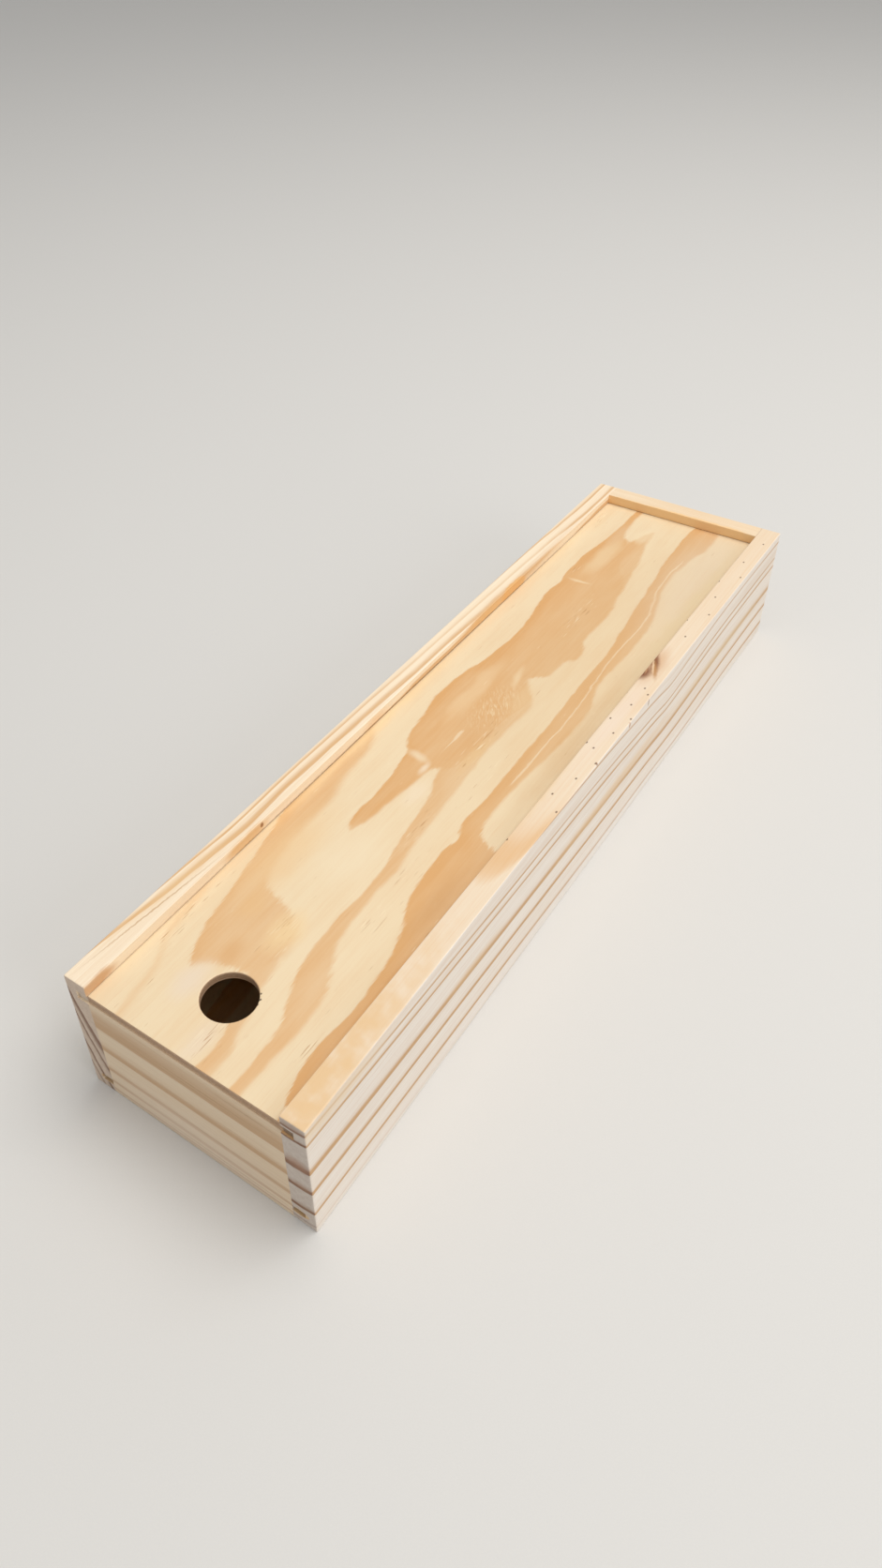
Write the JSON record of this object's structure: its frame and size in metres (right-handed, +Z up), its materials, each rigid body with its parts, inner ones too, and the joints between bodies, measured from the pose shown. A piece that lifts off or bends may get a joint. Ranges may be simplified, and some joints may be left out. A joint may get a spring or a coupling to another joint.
{
  "type": "sliding lid wooden tool box",
  "caption": "Long, low wooden box whose plywood lid slides out endways along grooves in the side boards, drawn by a round finger hole near its front end.",
  "frame": {"origin": "middle of the box's footprint, on the surface it stands on", "axes": "+Z up, +Y along the length from the front end, where the lid comes out, to the back, +X to the right seen from the front"},
  "size_m": [0.152, 0.6, 0.092],
  "materials": {
    "left_board": "planed and sanded pine, unfinished",
    "right_board": "planed and sanded pine, unfinished",
    "front_board": "planed and sanded pine, unfinished",
    "back_board": "planed and sanded pine, unfinished",
    "lid_plywood": "sanded rotary-cut pine plywood, unfinished",
    "bottom_plywood": "sanded rotary-cut pine plywood, unfinished",
    "dowel_beech": "turned and fluted beech"
  },
  "bodies": {
    "box": {"left_side": "left_board", "right_side": "right_board", "front_end": "front_board", "back_end": "back_board", "bottom_panel": "bottom_plywood", "dowel_front_left_lower": "dowel_beech", "dowel_front_left_upper": "dowel_beech", "dowel_front_right_lower": "dowel_beech", "dowel_front_right_upper": "dowel_beech", "dowel_back_left_lower": "dowel_beech", "dowel_back_left_upper": "dowel_beech", "dowel_back_right_lower": "dowel_beech", "dowel_back_right_upper": "dowel_beech"},
    "lid": {"lid": "lid_plywood"}
  },
  "joints": [
    {"name": "lid_slide", "type": "slide", "parent": "box", "child": "lid", "axis": [0, -1, 0], "range_m": [0, 0.593]}
  ]
}
